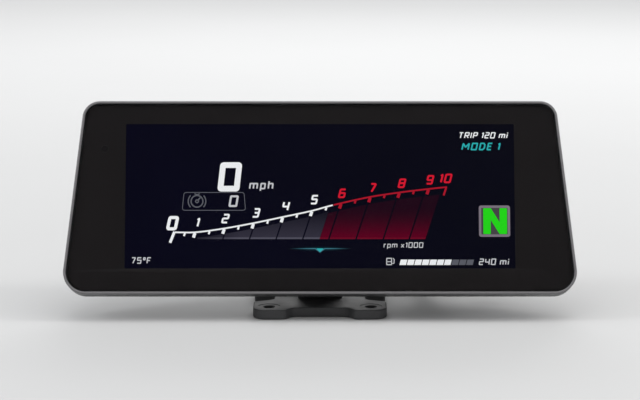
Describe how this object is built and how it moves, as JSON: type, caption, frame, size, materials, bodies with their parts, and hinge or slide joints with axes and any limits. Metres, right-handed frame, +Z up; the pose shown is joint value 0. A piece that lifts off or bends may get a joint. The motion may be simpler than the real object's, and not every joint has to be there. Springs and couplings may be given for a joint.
{
  "type": "motorcycle instrument cluster",
  "caption": "Wide flat colour-screen instrument cluster for a motorcycle: flared black housing with a finned back and lever-locked plug, on a rubber-isolated bracket.",
  "frame": {"origin": "middle of the underside of the bracket's level foot", "axes": "+X to the rider's right, +Y forwards and away from the rider, +Z up with the screen leaning back 20 degrees as fitted"},
  "size_m": [0.3196, 0.095, 0.1325],
  "materials": {
    "cover_glass": "anti-glare coated, polished edge",
    "mask_print": "black ceramic print seen through the glass",
    "clear_bond": "clear",
    "screen": "dark navy, lit",
    "film": "white satin",
    "acrylic": "clear",
    "sheet_steel": "plain rolled",
    "frame_plastic": "fine-grained black, semi-gloss rim",
    "tape": "black foam tape",
    "silicone": "red-brown silicone",
    "housing_cast": "die cast, black powder coat",
    "circuit_board": "green solder resist",
    "chip": "black epoxy",
    "thermal_pad": "soft grey-blue",
    "flex": "amber polyimide",
    "connector_plastic": "black glass-filled nylon",
    "contact": "gold plated",
    "lever_plastic": "grey nylon",
    "lock_plastic": "red nylon",
    "coax_plastic": "blue nylon",
    "cable": "black braided sleeve",
    "rubber": "black rubber",
    "zinc_steel": "bright zinc",
    "bracket_cast": "die cast, black powder coat"
  },
  "bodies": {
    "cluster": {"cover_glass": "cover_glass", "bezel_mask": "mask_print", "glass_adhesive": "tape", "optical_bond": "clear_bond", "lcd_panel": "screen", "optical_films": "film", "light_guide": "acrylic", "reflector_sheet": "film", "led_bar": "circuit_board", "backlight_tray": "sheet_steel", "lcd_flex": "flex", "fpc_connector": "connector_plastic", "front_frame": "frame_plastic", "light_sensor": "circuit_board", "housing_seal": "silicone", "rear_housing": "housing_cast", "pressure_vent": "connector_plastic", "main_pcb": "circuit_board", "processor": "chip", "shield_can": "sheet_steel", "thermal_pad": "thermal_pad", "memory_chip": "chip", "power_inductor": "chip", "capacitor_1": "sheet_steel", "capacitor_2": "sheet_steel", "main_header": "connector_plastic", "header_seal": "silicone", "pin_insert": "contact", "coax_socket": "coax_plastic", "coax_plug": "coax_plastic", "coax_cable": "cable", "mounting_bracket": "bracket_cast", "grommet_left": "rubber", "spacer_sleeve_left": "zinc_steel", "mount_bolt_left": "zinc_steel", "grommet_right": "rubber", "spacer_sleeve_right": "zinc_steel", "mount_bolt_right": "zinc_steel", "grommet_lower": "rubber", "spacer_sleeve_lower": "zinc_steel", "mount_bolt_lower": "zinc_steel", "housing_screw_1": "zinc_steel", "housing_screw_2": "zinc_steel", "housing_screw_3": "zinc_steel", "housing_screw_4": "zinc_steel", "housing_screw_5": "zinc_steel", "housing_screw_6": "zinc_steel", "housing_screw_7": "zinc_steel", "housing_screw_8": "zinc_steel", "pcb_screw_1": "zinc_steel", "pcb_screw_2": "zinc_steel", "pcb_screw_3": "zinc_steel", "pcb_screw_4": "zinc_steel"},
    "plug": {"harness_plug": "connector_plastic", "plug_seal": "silicone", "harness_sleeve": "cable"},
    "lever": {"plug_lever": "lever_plastic"},
    "lock": {"lever_lock": "lock_plastic"}
  },
  "joints": [
    {"name": "plug_travel", "type": "slide", "parent": "cluster", "child": "plug", "axis": [0, 0.9397, -0.342], "range_m": [0, 0.00794]},
    {"name": "lever_swing", "type": "hinge", "parent": "plug", "child": "lever", "pos_m": [0.072, 0.01143, 0.0454], "axis": [1, 0, 0], "range_deg": [0, 70]},
    {"name": "lock_slide", "type": "slide", "parent": "plug", "child": "lock", "axis": [0, -0.9397, 0.342], "range_m": [0, 0.003]}
  ],
  "couplings": [
    {"joint": "lever_swing", "follows": "plug_travel", "rad_per_m": 153.85}
  ]
}
